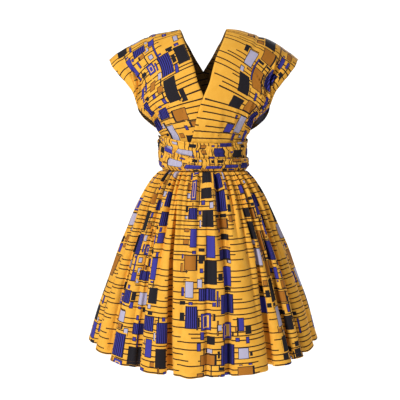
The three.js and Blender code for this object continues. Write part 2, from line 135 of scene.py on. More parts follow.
# Soft creases along a strap: from row and across, to row and across, spread, depth.
STRAP_CREASES = (
    (0.5, 0.92, 5.2, 0.76, 0.017, 7.5),
    (0.6, 0.82, 4.9, 0.66, 0.014, 8.5),
    (0.4, 0.72, 4.4, 0.55, 0.016, 5.5),
    (0.4, 0.58, 4.0, 0.34, 0.020, 4.5),
    (0.3, 0.42, 3.8, 0.16, 0.024, 4.0),
    (1.0, 0.97, 4.6, 0.86, 0.014, 5.0),
    (5.4, 0.95, 9.1, 0.68, 0.020, 13.0),
    (5.8, 0.98, 8.6, 0.78, 0.013, 7.0),
    (5.0, 0.93, 6.8, 0.50, 0.015, 5.5),
    (4.3, 0.96, 5.4, 0.55, 0.015, 6.0),
    (7.2, 0.30, 10.8, 0.42, 0.030, 2.6),
    (11.5, 0.90, 17.5, 0.60, 0.028, 6.0),
    (12.6, 0.97, 15.0, 0.55, 0.024, 5.0),
    (13.0, 0.66, 19.0, 0.40, 0.028, 5.0),
    (12.0, 0.40, 18.0, 0.22, 0.024, 4.0),
    (16.0, 0.95, 20.5, 0.72, 0.024, 5.0),
)

SKIRT_FALL = (0, 0.02, 0.06, 0.13, 0.22, 0.345, 0.45, 0.56, 0.77, 1)
SKIRT_WIDTH = (118.5, 134, 151, 173, 195, 223, 246, 265, 300, 333)
WAIST_DEPTH_FRONT, WAIST_DEPTH_BACK = 90, 84
HEM_DEPTH = 290
DROP_SIDE, DROP_MIDDLE, DROP_SWEEP = 487, 540, 1.4
SEAM_GAP = 0.3
# turn at the hem, lean, depth, begins, set back
VALLEYS = (
    (-97, -1, 34, 0.1, 0),
    (-73, -2, 36, 0.12, 2),
    (-55.5, -3, 34, 0.1, 0),
    (-35, -7, 28, 0.08, 0),
    (-17.5, -9, 50, 0.06, 0),
    (1.5, 3, 23, 0.08, 14),
    (12, 6, 30, 0.06, 0),
    (36.5, 4, 40, 0.1, 0),
    (50, 1, 34, 0.14, 0),
    (60, 0, 32, 0.14, 3),
    (78, -1, 28, 0.2, 0),
    (99, 1, 38, 0.1, 0),
    (119, 2, 30, 0.12, 4),
    (135, 4, 40, 0.08, 0),
    (157, 3, 26, 0.1, 0),
    (174, 2, 36, 0.12, 8),
    (188, -2, 30, 0.1, 0),
    (211, -4, 44, 0.07, 0),
    (229, -3, 28, 0.12, 3),
    (244, -2, 34, 0.1, 0),
)
FLUTE_ROUNDING = 0.9
FLUTE_PINCH = 0.35

KNOT = Table(width=27, height=23, thick=14, seat=5, level=44)
TAIL = Table(length=215, width=17, bottom_width=50, slant=22, tuck=0.2, clear=7)
TAILS = {"tail_left": (173.5, 161), "tail_right": (-173.5, -163)}

# --- curves


def share_between(value, low, high):
    return np.clip((value - low) / (high - low), 0, 1)


def smoothstep(value, low, high):
    t = share_between(value, low, high)
    return t * t * (3 - 2 * t)


def blend(low, high, share):
    return low + (high - low) * share


def curve_at(keys, values, at):
    """Values at places along a table's keys, on a smooth curve through its rows."""
    keys = np.asarray(keys, float)
    values = np.asarray(values, float)
    at = np.clip(at, keys[0], keys[-1])
    i = np.clip(np.searchsorted(keys, at, side="left") - 1, 0, len(keys) - 2)
    before = np.maximum(np.arange(len(keys)) - 1, 0)
    after = np.minimum(np.arange(len(keys)) + 1, len(keys) - 1)
    slope = (values[after] - values[before]) / (keys[after] - keys[before])
    span = keys[i + 1] - keys[i]
    t = (at - keys[i]) / span
    change = values[i + 1] - values[i]
    bend = (1 - t) * (span * slope[i] - change) - t * (span * slope[i + 1] - change)
    return values[i] + change * t + t * (1 - t) * bend


def sine(degrees):
    return np.sin(np.radians(degrees))


def cosine(degrees):
    return np.cos(np.radians(degrees))


WAVE_COUNT, NOISE_COUNT = 7, 14  # how many sine waves each is made of
WAVE_UNEVENNESS = 0.5  # how far the pitch of each lies from 1
NOISE_PITCH = (0.5, 1.1)
NOISE_SIZE = 0.7
TROUGH_STEEPNESS, TROUGH_ROUNDING = 1.7, 0.04


def evened(total, count):
    """A sum of sine waves brought to about -1 to 1."""
    return total / math.sqrt(count / 2) * NOISE_SIZE


def waves(at, seed):
    """An uneven wave of about one crest per unit of `at`, from -1 to 1, the same on each run."""
    rng = np.random.default_rng(seed)
    total = 0
    for _ in range(WAVE_COUNT):
        pitch = 1 + WAVE_UNEVENNESS * rng.uniform(-1, 1)
        total = total + np.sin(2 * np.pi * (at * pitch + rng.uniform()))
    return evened(total, WAVE_COUNT)


def soft_noise(first, second, seed):
    """Smooth uneven relief over two coordinates, about -1 to 1, with features about 1 unit wide."""
    rng = np.random.default_rng(seed)
    total = 0
    for _ in range(NOISE_COUNT):
        heading = rng.uniform(0, 2 * np.pi)
        pitch = rng.uniform(*NOISE_PITCH)
        along = first * math.cos(heading) + second * math.sin(heading)
        total = total + np.sin(2 * np.pi * (pitch * along + rng.uniform()))
    return evened(total, NOISE_COUNT)


def bell(aside):
    """A smooth hump: 1 in the middle and near 0 from 2 out."""
    return np.exp(-(aside**2))


def trough(aside):
    """The depth of a crease: 1 in its sharp middle, with long soft sides."""
    slope = np.sqrt(TROUGH_STEEPNESS * aside**2 + TROUGH_ROUNDING)
    return np.exp(math.sqrt(TROUGH_ROUNDING) - slope)


def ridges(place, power):
    """Ridges a unit apart, from 0 to 1, with sharper valleys between them the lower the power."""
    return np.abs(np.sin(np.pi * place)) ** power


# --- the form over the waist


def shoulder_height(x):
    out = np.maximum(np.abs(x) - NECK_X, 0) / (SLEEVE_X - NECK_X)
    return NECK_HEIGHT - SLEEVE_DROP * out**SLEEVE_SLOPE


def side_and_level(rise):
    """Whether a rise is behind, which is past the top of the shoulder, and how high it lies."""
    is_back = rise > SHOULDER_TOP
    return is_back, np.where(is_back, 2 * SHOULDER_TOP - rise, rise)


def form_points(turn, rise):
    """Points of the worn form. A rise past the top of the shoulder goes on down the back."""
    is_back, level = side_and_level(rise)
    over = (rise - SHOULDER_FOOT) / (2 * (SHOULDER_TOP - SHOULDER_FOOT))
    tilt = 180 * np.clip(over, 0, 1)
    ahead = cosine(tilt) * cosine(turn)
    sizes = {name: curve_at(FORM_RISE, column, level) for name, column in FORM.items()}
    x = np.where(is_back, sizes["back_width"], sizes["front_width"]) * sine(turn)
    y = -ahead * np.where(ahead > 0, sizes["front_depth"], sizes["back_depth"])
    upper = blend(SHOULDER_FOOT, shoulder_height(x), sine(tilt))
    return np.stack([x, y, np.where(level < SHOULDER_FOOT, level, upper)], axis=-1)


def unit(vectors):
    return vectors / np.maximum(np.linalg.norm(vectors, axis=-1, keepdims=True), 1e-9)


def form_normals(turn, rise):
    """Unit normals of the form, from small steps each way over it."""
    across = form_points(turn + 0.5, rise) - form_points(turn - 0.5, rise)
    along = form_points(turn, rise + 1) - form_points(turn, rise - 1)
    return unit(np.cross(across, along))


def place_on_form(x, height, is_back):
    """The turn and rise of a place given by its distance from the middle and its height."""
    share = (height - SHOULDER_FOOT) / (shoulder_height(x) - SHOULDER_FOOT)
    tilt = 2 * math.asin(min(max(share, 0), 1)) / math.pi
    rise = height
    if height >= SHOULDER_FOOT:
        rise = blend(SHOULDER_FOOT, SHOULDER_TOP, tilt)
    width = curve_at(FORM_RISE, FORM["back_width" if is_back else "front_width"], rise)
    turn = math.degrees(math.asin(min(max(x / width, -1), 1)))
    return turn, 2 * SHOULDER_TOP - rise if is_back else rise


# --- meshes


def grid_normals(points, around=False):
    """Unit normals of a grid: along its columns crossed with along its rows."""
    if around:
        across = np.roll(points, -1, axis=1) - np.roll(points, 1, axis=1)
    else:
        across = np.gradient(points, axis=1)
    return unit(np.cross(across, np.gradient(points, axis=0)))


def add_object(name, data):
    thing = bpy.data.objects.new(name, data)
    bpy.context.scene.collection.objects.link(thing)
    return thing


def add_mesh(name, places, faces, materials, shade_flat=True):
    mesh = bpy.data.meshes.new(name)
    mesh.from_pydata(places, [], faces, shade_flat=shade_flat)
    for material in materials:
        mesh.materials.append(material)
    return add_object(name, mesh)


def cloth_piece(name, points, cloth, materials, around=False):
    """A thin closed shell whose outer face is a grid of points, in millimetres.

    `cloth` is each point's place on the flat cloth, in metres. `materials` are the print's right
    side, for the outer face and the edges, and the print darkened with painted shade, for the inner
    face.
    """
    rows, columns = points.shape[:2]
    inner = points - grid_normals(points, around) * PLY
    places = np.concatenate([points.reshape(-1, 3), inner.reshape(-1, 3)]) * MM
    number = np.arange(rows * columns).reshape(rows, columns)
    if around:
        number = np.concatenate([number, number[:, :1]], axis=1)
    a, b = number[:-1, :-1], number[:-1, 1:]
    c, d = number[1:, 1:], number[1:, :-1]
    outer_faces = np.stack([a, b, c, d], axis=-1).reshape(-1, 4)
    under = rows * columns
    inner_faces = outer_faces[:, ::-1] + under

    def rim(line):
        start, end = line[:-1], line[1:]
        return np.stack([end, start, start + under, end + under], axis=-1)

    rims = [rim(number[0]), rim(number[-1][::-1])]
    if not around:
        rims += [rim(number[::-1, 0]), rim(number[:, -1])]
    faces = np.concatenate([outer_faces, inner_faces, *rims])
    piece = add_mesh(name, places.tolist(), faces.tolist(), materials, shade_flat=False)
    is_inner = np.zeros(len(faces), np.int32)
    is_inner[len(outer_faces) : 2 * len(outer_faces)] = 1
    piece.data.polygons.foreach_set("material_index", is_inner)
    layer = piece.data.uv_layers.new(name=CLOTH_MAP)
    flat = np.concatenate([cloth.reshape(-1, 2)] * 2)
    layer.data.foreach_set("uv", flat[faces.ravel()].ravel())
    piece.data.validate()
    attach(piece, ROOT)
    return piece


def lengths_along(points, axis):
    """How far each point lies along its line of the grid, in millimetres."""
    moves = np.linalg.norm(np.diff(points, axis=axis), axis=-1)
    start = np.zeros_like(np.take(moves, [0], axis=axis))
    return np.concatenate([start, np.cumsum(moves, axis=axis)], axis=axis)


STITCH = Table(pitch=4.2, length=2.9, width=0.55, height=0.45)


def stitch_row(line, normals):
    """Corners and faces of a row of stitches: small spindles along a line of points, in order."""
    length = lengths_along(line, 0)
    middle = np.arange(STITCH.pitch, length[-1] - STITCH.pitch, STITCH.pitch)

    def along_line(values, at):
        return np.stack([np.interp(at, length, values[:, i]) for i in range(3)], axis=-1)

    start = along_line(line, middle - STITCH.length / 2)
    end = along_line(line, middle + STITCH.length / 2)
    up = unit(along_line(normals, middle))
    aside = unit(np.cross(end - start, up)) * STITCH.width / 2
    centre = (start + end) / 2
    top = centre + up * STITCH.height
    corners = np.stack([start, centre - aside, top, centre + aside, end], axis=1)
    faces = [(0, 2, 1), (0, 3, 2), (0, 1, 3), (4, 1, 2), (4, 2, 3), (4, 3, 1)]
    first = np.arange(len(middle))[:, None, None] * corners.shape[1]
    return corners.reshape(-1, 3), (first + np.array(faces)).reshape(-1, 3)


def stitching(name, lines, material):
    """One piece of sewing thread, from several lines of points and their normals."""
    places, faces = [], []
    count = 0
    for line, normals in lines:
        corners, triangles = stitch_row(line, normals)
        places.append(corners * MM)
        faces.append(triangles + count)
        count += len(corners)
    places, faces = np.concatenate(places), np.concatenate(faces)
    piece = add_mesh(name, places.tolist(), faces.tolist(), [material])
    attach(piece, ROOT)
    return piece


# --- materials


def set_inputs(node, values):
    """Gives a node's inputs, by name or number, a number, a colour or another node's output."""
    for name, value in values.items():
        if isinstance(value, Sum):
            value = value.socket
        if isinstance(value, bpy.types.NodeSocket):
            node.id_data.links.new(value, node.inputs[name])
        else:
            node.inputs[name].default_value = (*value, 1) if isinstance(value, tuple) else value
    return node


MIX_INPUTS, MIX_OUTPUT = (0, 6, 7), 2  # the sockets that a Mix node has for colours


class Sum:
    """A node's output that reads like a number, so that a pattern's sums can be written out."""

    def __init__(self, socket):
        self.socket = socket

    def math(self, operation, *others):
        node = self.socket.id_data.nodes.new("ShaderNodeMath")
        node.operation = operation
        return Sum(set_inputs(node, dict(enumerate((self, *others)))).outputs[0])

    __add__ = partialmethod(math, "ADD")
    __sub__ = partialmethod(math, "SUBTRACT")
    __mul__ = partialmethod(math, "MULTIPLY")
    __truediv__ = partialmethod(math, "DIVIDE")
    floor = partialmethod(math, "FLOOR")
    fract = partialmethod(math, "FRACT")
    abs = partialmethod(math, "ABSOLUTE")
    max = partialmethod(math, "MAXIMUM")
    min = partialmethod(math, "MINIMUM")
    below = partialmethod(math, "LESS_THAN")
    above = partialmethod(math, "GREATER_THAN")

    def between(self, low, high):
        return self.above(low) * self.below(high)

    def inverse(self):
        return self * -1.0 + 1.0

    def lerp(self, low, high):
        return self * (high - low) + low


class NodeTools:
    """The tools that a node tree is written with."""

    def __init__(self, owner):
        self.nodes = owner.node_tree.nodes

    def add(self, kind, inputs):
        return set_inputs(self.nodes.new("ShaderNode" + kind), inputs)

    def place(self):
        """The place on the flat cloth, across and along, in metres, and both as a vector."""
        node = self.add("UVMap", {})
        node.uv_map = CLOTH_MAP
        split = self.add("SeparateXYZ", {0: node.outputs[0]})
        return Sum(split.outputs[0]), Sum(split.outputs[1]), node.outputs[0]

    def chances(self, column, row, seed):
        """Three even chances and a fourth for each cell of a grid."""
        join = self.add("CombineXYZ", {0: column, 1: row, 2: seed})
        noise = self.add("TexWhiteNoise", {"Vector": join.outputs[0]})
        split = self.add("SeparateColor", {0: noise.outputs["Color"]})
        return [Sum(output) for output in (*split.outputs, noise.outputs["Value"])]

    def noise(self, vector, kind):
        return Sum(self.add("TexNoise", {**kind, "Vector": vector}).outputs[0])

    def mix(self, share, low, high):
        """Two colours mixed by a share from 0 to 1."""
        node = self.add("Mix", {})
        node.data_type = "RGBA"
        factor, first, second = MIX_INPUTS
        return set_inputs(node, {factor: share, first: low, second: high}).outputs[MIX_OUTPUT]

    def choose(self, share, colours):
        """One of several colours, each from the share that its key gives up."""
        ramp = self.add("ValToRGB", {0: share})
        ramp.color_ramp.interpolation = "CONSTANT"
        elements = ramp.color_ramp.elements
        for i, (start, colour) in enumerate(colours):
            element = elements[i] if i < 2 else elements.new(start)
            element.position = start
            element.color = (*colour, 1)
        return ramp.outputs[0]


def new_material(name):
    """A material, the tools for its node tree, and its shader."""
    material = bpy.data.materials.new(name)
    material.use_nodes = True
    return material, NodeTools(material), material.node_tree.nodes["Principled BSDF"]


# Linear colours of the print.
GOLD = (0.88, 0.515, 0.098)
GOLD_DEEP = (0.75, 0.340, 0.024)
BLUE = (0.060, 0.055, 0.32)
NAVY = (0.015, 0.014, 0.075)
LILAC = (0.46, 0.43, 0.56)
INK = (0.020, 0.017, 0.022)
OCHRE = (0.43, 0.175, 0.024)
LINE = (0.040, 0.020, 0.010)
THREAD = (0.62, 0.27, 0.035)
INNER_FACE_PAINTED_SHADE = 0.22  # painted shade for the cloth's inner face: the share of the print's colour kept, the rest mixed to INK

# The print's blocks, in metres of cloth: large ones first, then small ones and thin bars between
# them. A block of a kind lies somewhere in its own cell. Colours go by a chance from 0 to 1, and
# so do the blocks that hold an inner frame, pinstripes or a dark bar down one side.
NEVER = (2.0, 3.0)  # chances that no block has
LARGE_BLOCKS = Table(
    cell=(0.056, 0.070),
    half_width=(0.0095, 0.0245),
    half_height=(0.0125, 0.0320),
    odds=0.9,
    seed=3.0,
    colours=((0.0, BLUE), (0.34, LILAC), (0.48, INK), (0.66, NAVY), (0.90, OCHRE)),
    framed=(0.26, 0.34),
    pinstriped=(0.66, 0.90),
    barred=0.90,
)
SMALL_BLOCKS = Table(
    cell=(0.029, 0.033),
    half_width=(0.0045, 0.0120),
    half_height=(0.0045, 0.0130),
    odds=0.72,
    seed=11.0,
    colours=((0.0, BLUE), (0.36, LILAC), (0.52, INK), (0.86, OCHRE)),
    framed=(0.28, 0.36),
    pinstriped=NEVER,
    barred=0.92,
)
THIN_BARS = Table(
    cell=(0.043, 0.108),
    half_width=(0.0016, 0.0036),
    half_height=(0.016, 0.046),
    odds=0.5,
    seed=19.0,
    colours=((0.0, INK), (0.55, OCHRE), (0.8, BLUE)),
    framed=NEVER,
    pinstriped=NEVER,
    barred=NEVER[0],
)
SLIDE_SEED, PLACE_SEED = 0.5, 0.25  # what is added to a kind's seed for its other chances
CELL_MARGIN = 0.003  # the ground left between a block's cell and the next
# The bands of blocks that run down the cloth.
STREAM = Table(pitch=0.30, share=0.60, sway=0.24, sway_rows=0.21, seed=47.0)
OUTLINE = 0.0018
FRAME_INSET, FRAME_LINE = 0.0065, 0.0024
PINSTRIPES = Table(pitch=0.0066, share=0.42)
BAR_WIDTH = 0.006
# Rows of dashes, one to a cell. A dash starts by chance in the cell's first part, and ends in the
# last part past what is always drawn.
DASHES = Table(pitch=0.0142, jitter=0.5, half_thick=0.0015, odds=0.95, seeds=(23.0, 31.0))
DASH_CELL = Table(length=0.33, slide=7.0, first=0.16, last=0.22, drawn=0.82)

GROUND_MOTTLE = {"Scale": 34.0, "Detail": 6.0, "Roughness": 0.62}
CRINKLE = {"Scale": 90.0, "Detail": 4.0, "Roughness": 0.6}
THREAD_MOTTLE = {"Scale": 900.0, "Detail": 2.0, "Roughness": 0.5}
COTTON_SHEEN = {
    "Roughness": 0.78,
    "Sheen Weight": 0.08,
    "Sheen Roughness": 0.5,
    "Specular IOR Level": 0.25,
}
BUMP = {"Strength": 0.25, "Distance": 0.0012}
BUMP_SHARES = Table(crinkle=0.8, weave=0.12)
WEAVE_RADIAN = 0.0009  # metres of cloth to a radian of the weave
THREAD_ROUGHNESS = 0.6


def block_layer(cotton, across, along, kind):
    """One layer of blocks: (its share, its colour, the distance out of the nearest block)."""
    cell_across, cell_along = kind.cell
    column_place = across / cell_across
    column = column_place.floor()
    slide = cotton.chances(column, column * 0.0, kind.seed + SLIDE_SEED)[0]
    row_place = along / cell_along + slide
    row = row_place.floor()
    wide, tall, chance, colour = cotton.chances(column, row, kind.seed)
    aside, above, _, _ = cotton.chances(column, row, kind.seed + PLACE_SEED)
    band_row = ((row - slide + 0.5) * (cell_along / STREAM.sway_rows)).floor()
    sway = cotton.chances(band_row, band_row * 0.0, STREAM.seed)[1] * STREAM.sway
    band = ((column + 0.5) * (cell_across / STREAM.pitch) + sway).fract()
    half_width = wide.lerp(*kind.half_width)
    half_height = tall.lerp(*kind.half_height)
    room_across = half_width * -2.0 + (cell_across - CELL_MARGIN)
    room_along = half_height * -2.0 + (cell_along - CELL_MARGIN)
    x = (column_place.fract() - 0.5) * cell_across - (aside - 0.5) * room_across
    y = (row_place.fract() - 0.5) * cell_along - (above - 0.5) * room_along
    out = (x.abs() - half_width).max(y.abs() - half_height)
    present = chance.below(kind.odds) * band.below(STREAM.share)
    inside = out.below(0.0) * present
    fill = cotton.choose(colour, kind.colours)
    pins = (x / PINSTRIPES.pitch).fract().below(PINSTRIPES.share)
    fill = cotton.mix(pins * colour.between(*kind.pinstriped), fill, BLUE)
    frame_line = out.between(-FRAME_INSET - FRAME_LINE, -FRAME_INSET)
    fill = cotton.mix(frame_line * colour.between(*kind.framed), fill, GOLD)
    bar = colour.above(kind.barred) * x.above(half_width - BAR_WIDTH)
    fill = cotton.mix(bar, fill, INK)
    fill = cotton.mix(out.above(-OUTLINE), fill, INK)
    return inside, fill, out + present.inverse()


def dash_layer(cotton, across, along, clear):
    """Thin dark lines across the cloth, in rows of uneven lengths."""
    row_seed, dash_seed = DASHES.seeds
    row_place = along / DASHES.pitch
    row = row_place.floor()
    shift, jitter, chance, _ = cotton.chances(row, row * 0.0, row_seed)
    cell_place = across / DASH_CELL.length + shift * DASH_CELL.slide
    start, end, _, _ = cotton.chances(cell_place.floor(), row, dash_seed)
    x = cell_place.fract()
    is_long = x.above(start * DASH_CELL.first) * (x - end * DASH_CELL.last).below(DASH_CELL.drawn)
    y = (row_place.fract() - 0.5 - (jitter - 0.5) * DASHES.jitter).abs() * DASHES.pitch
    is_drawn = is_long * chance.below(DASHES.odds)
    return y.below(DASHES.half_thick) * is_drawn * clear.above(0.0)


def cotton_print(name, light=1.0):
    """Printed cotton: golden ground, dark dashes and bands of coloured blocks, with a fine weave."""
    material, cotton, shader = new_material(name)
    across, along, vector = cotton.place()
    large, large_fill, large_clear = block_layer(cotton, across, along, LARGE_BLOCKS)
    small, small_fill, small_clear = block_layer(cotton, across, along, SMALL_BLOCKS)
    small = small * large_clear.above(CELL_MARGIN)
    bars, bar_fill, _ = block_layer(cotton, across, along, THIN_BARS)
    clear = large_clear.min(small_clear + large_clear.below(CELL_MARGIN))
    dashes = dash_layer(cotton, across, along, clear)
    ground = cotton.mix(cotton.noise(vector, GROUND_MOTTLE), GOLD, GOLD_DEEP)
    colour = cotton.mix(dashes, ground, LINE)
    for share, fill in ((bars, bar_fill), (small, small_fill), (large, large_fill)):
        colour = cotton.mix(share, colour, fill)
    # Below 1, `light` mixes the print towards INK: painted shade for the cloth's inner face.
    if light < 1:
        colour = cotton.mix(light, INK, colour)
    weave = (across / WEAVE_RADIAN).math("SINE") * (along / WEAVE_RADIAN).math("SINE")
    height = cotton.noise(vector, CRINKLE) * BUMP_SHARES.crinkle + weave * BUMP_SHARES.weave
    bump = cotton.add("Bump", {**BUMP, "Height": height})
    set_inputs(shader, {**COTTON_SHEEN, "Base Color": colour, "Normal": bump.outputs[0]})
    return material


def thread_material():
    """Twisted sewing thread of the ground's colour."""
    material, thread, shader = new_material("sewing_thread")
    place = thread.add("NewGeometry", {}).outputs["Position"]
    colour = thread.mix(thread.noise(place, THREAD_MOTTLE), THREAD, GOLD_DEEP)
    set_inputs(shader, {"Base Color": colour, "Roughness": THREAD_ROUGHNESS})
    return material


# --- skirt

SKIRT_GRID = (100, 480)  # rows down, columns across each panel
ROW_CROWDING = 1.25  # over 1, so that the rows lie closer towards the waist
SIDE_SEAMS = (-90, 90)
SEAM_REACH = 26  # how far a side seam holds the folds flat, along the flat cloth
HEM_STEPS = 6000  # the steps that the hem is measured in
VALLEY_GROWTH = (-0.1, 1.3)  # falls: its start before its beginning, its full depth
# The gathers: folds of uneven depth, width and length that start at the waist seam. Spreads are
# on the flat cloth, and ends are falls, most of them near the first.
GATHERS = (
    Table(pitch=27, depth=(2.5, 5.5), spread=(4.5, 7.0), ends=(0.05, 0.18), seed=1),
    Table(pitch=46, depth=(8.0, 15.0), spread=(8.0, 13.0), ends=(0.16, 0.65), seed=2),
    Table(pitch=88, depth=(12.0, 22.0), spread=(10.0, 17.0), ends=(0.6, 1.8), seed=3),
)
GATHER_AT_SEAM = 0.4  # the share of its depth that a gather has where it is sewn
GATHER_GROWN = 0.05  # the fall where it has all of it
GATHER_FADES = 0.3  # where it starts to fade, of its end
GATHER_PLAY = 0.42  # how far a gather lies from its even place, of the pitch
GATHER_SHORTNESS = 1.7  # over 1, so that most gathers end early
GATHER_DRIFT = 26  # how far aside a gather may run, per fall
GATHER_WIDENS = 1.5
GATHER_SIDES = Table(height=0.15, place=2.1)  # the soft ridges beside a gather
GATHER_HEADS = Table(puff=5, grown=0.003, ends=0.025)  # how they stand out under the seam
GATHER_SAG = Table(share=0.4, ends=0.35)  # of the cloth in the gathers, of their depth
# Of the valley's own depth, and in falls.
VALLEY_CREASE = Table(share=0.52, spread=6.5, widens=0.4, grown=0.3, eases=0.1)
SKIRT_CREASES = Table(across=120, down=2.2, height=2.2, grown=0.3, seed=5)
HEM_WAVE = Table(height=1.2, pitch=60, begins=0.9, seed=9)
HEM_FOLD = Table(height=13, ply=0.6)  # the hem's turned-up cloth
HEM_STITCH_ROW = 2  # the grid's row that the hem is stitched along


def crest_depth(turn, width):
    waist_depth = np.where(cosine(turn) > 0, WAIST_DEPTH_FRONT, WAIST_DEPTH_BACK)
    share = (width - SKIRT_WIDTH[0]) / (SKIRT_WIDTH[-1] - SKIRT_WIDTH[0])
    return blend(waist_depth, HEM_DEPTH, share)


def skirt_drop(turn):
    return blend(DROP_SIDE, DROP_MIDDLE, np.abs(cosine(turn)) ** DROP_SWEEP)


def skirt_points(place, fall):
    """Points of the skirt at places counted in flutes from the first valley, and falls from 0 to 1.

    The places go on past the last valley, for the panel that ends in the flute it began in.
    """
    again = [(turn + 360, *shape) for turn, *shape in VALLEYS[:2]]
    valleys = np.array([*VALLEYS, *again], float)
    i = np.clip(np.floor(place).astype(int), 0, len(VALLEYS))
    u = place - i

    def turn_of(valley):
        return valleys[valley, 0] + valleys[valley, 1] * (1 - fall)

    def depth_of(valley):
        early, full = VALLEY_GROWTH
        return valleys[valley, 2] * smoothstep(fall, valleys[valley, 3] + early, full)

    drawn = u - FLUTE_PINCH * fall * np.sin(2 * np.pi * u) / (2 * np.pi)
    turn = blend(turn_of(i), turn_of(i + 1), drawn)
    hollow = 1 - ridges(u, FLUTE_ROUNDING)
    inset = (depth_of(i) * (1 - u) + depth_of(i + 1) * u) * hollow
    inset = inset + valleys[i, 4] * fall * (1 - hollow)
    width = curve_at(SKIRT_FALL, SKIRT_WIDTH, fall)
    x = (width - inset) * sine(turn)
    y = -(crest_depth(turn, width) - inset) * cosine(turn)
    return np.stack([x, y, -SEAM_GAP - fall * skirt_drop(turn)], axis=-1)


def gather_relief(cloth_across, fall, panel_seed):
    first, last = cloth_across.min(), cloth_across.max()
    grow = blend(GATHER_AT_SEAM, 1, smoothstep(fall, 0, GATHER_GROWN))
    relief = 0
    for kind in GATHERS:
        rng = np.random.default_rng(kind.seed + 10 * panel_seed)
        count = round((last - first) / kind.pitch)
        for i in range(count):
            place = i + 0.5 + rng.uniform(-GATHER_PLAY, GATHER_PLAY)
            middle = first + place / count * (last - first)
            depth = rng.uniform(*kind.depth)
            spread = rng.uniform(*kind.spread)
            end = blend(*kind.ends, rng.uniform() ** GATHER_SHORTNESS)
            drift = rng.uniform(-GATHER_DRIFT, GATHER_DRIFT) * fall
            widened = spread * (1 + GATHER_WIDENS * fall)
            aside = (cloth_across - middle - drift) / widened
            sides = GATHER_SIDES.height * bell(np.abs(aside) - GATHER_SIDES.place)
            faded = smoothstep(fall, GATHER_FADES * end, end)
            relief = relief + depth * (sides - trough(aside)) * grow * (1 - faded)
    return relief


def valley_creases(place, cloth_across, fall):
    """Sharp creases down the bottoms of the skirt's large valleys."""
    relief = 0
    for i in range(math.ceil(place[0, 0]), math.ceil(place[0, -1])):
        _, _, depth, begins, _ = VALLEYS[i % len(VALLEYS)]
        middle = np.interp(i, place[0], cloth_across[0])
        spread = VALLEY_CREASE.spread * (1 + VALLEY_CREASE.widens * fall)
        grown = smoothstep(fall, begins, begins + VALLEY_CREASE.grown)
        grown = grown * (1 - VALLEY_CREASE.eases * fall)
        relief = relief - VALLEY_CREASE.share * depth * trough((cloth_across - middle) / spread) * grown
    return relief


def even_columns(first, last, count):
    """Places in flutes between two turns, evenly spaced along the hem as the cloth lies flat."""
    fine = np.linspace(0, len(VALLEYS) + 1, HEM_STEPS)
    hem = skirt_points(fine, np.ones_like(fine))
    turn = np.degrees(np.unwrap(np.arctan2(hem[:, 0], -hem[:, 1])))
    length = lengths_along(hem, 0)
    start, end = np.interp([first, last], turn, length)
    wanted = np.linspace(start, end, count)
    return np.interp(wanted, length, fine), wanted


def skirt_creases(across, fall):
    """Soft uneven relief all over a panel, but for its gathered top."""
    kind = SKIRT_CREASES
    noise = soft_noise(across / kind.across, fall * kind.down, kind.seed)
    return noise * kind.height * smoothstep(fall, 0, kind.grown)


def gather_heads(fall):
    heads = GATHER_HEADS.puff * smoothstep(fall, 0, GATHER_HEADS.grown)
    return heads * (1 - smoothstep(fall, GATHER_HEADS.grown, GATHER_HEADS.ends))


def hem_wave(across, fall):
    wave = HEM_WAVE.height * waves(across / HEM_WAVE.pitch, HEM_WAVE.seed)
    return wave * smoothstep(fall, HEM_WAVE.begins, 1)


def make_skirt_panel(name, first, last, seed, materials, thread):
    rows, columns = SKIRT_GRID
    place, cloth_across = even_columns(first, last, columns)
    place, fall = np.meshgrid(place, np.linspace(1, 0, rows) ** ROW_CROWDING)
    points = skirt_points(place, fall)
    across = np.broadcast_to(cloth_across, place.shape)
    normals = grid_normals(points)
    normals[..., 2] = 0
    from_seam = np.minimum(across - across.min(), across.max() - across)
    sewn = smoothstep(from_seam, 0, SEAM_REACH)
    relief = gather_relief(across, fall, seed) + valley_creases(place, across, fall)
    hem_fold = HEM_FOLD.ply * ((1 - fall) * DROP_MIDDLE < HEM_FOLD.height)
    out = (relief + skirt_creases(across, fall)) * sewn + gather_heads(fall) + hem_fold
    points = points + unit(normals) * out[..., None]
    points[..., 2] += hem_wave(across, fall) * sewn
    down = lengths_along(points[::-1], 0)[::-1].mean(axis=1, keepdims=True)
    sag = GATHER_SAG.share * relief * (1 - smoothstep(fall, 0, GATHER_SAG.ends))
    cloth = np.stack([across, down + sag], axis=-1) * MM
    piece = cloth_piece(f"{name}_cloth", points, cloth, materials)
    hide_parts(name)
    hem = (points[HEM_STITCH_ROW], grid_normals(points)[HEM_STITCH_ROW])
    stitching(f"{name}_hem_stitches", [hem], thread)
    return piece


# --- straps and wraps

STRAP_ROWS, WRAP_ROWS, STRAP_COLUMNS = 220, 520, 64
STRAP_STEPS = 3000  # the steps that a strap's length is measured in
STRAP_SPACING = ((0, 0.36, 0.93, 1), (0, 0.55, 0.93, 1))  # closer columns where a strap is creased
WRAP_STARTS = (-2.5, 1)  # rows of the table from the first of the wrap
WRAP_ENDS = (-2.2, -1)  # rows from the table's end
CREASE_RIDGE = Table(height=0.7, place=1.9, spread=1.6)  # beside a crease, of its depth and spread
CREASE_FULLNESS = 0.6  # under 1, so that a crease is deep for most of its length
STRAP_PLEATS = Table(count=13, depth=2.6, rows=(0.2, 2.6))  # where a strap is sewn in
STRAP_DRAPE = Table(across=3.2, along=130, height=1.5)
BUNCHING = Table(flat_width=175, full_width=95, folds=6.5, sway=0.5, sharpness=0.7)
BUNCHING_HEIGHT = {1: 4.0, -1: 1.8}  # of the left strap, which lies over, and of the right strap
BUNCHING_RISE = 60  # how far past the shoulder's top it has its whole height
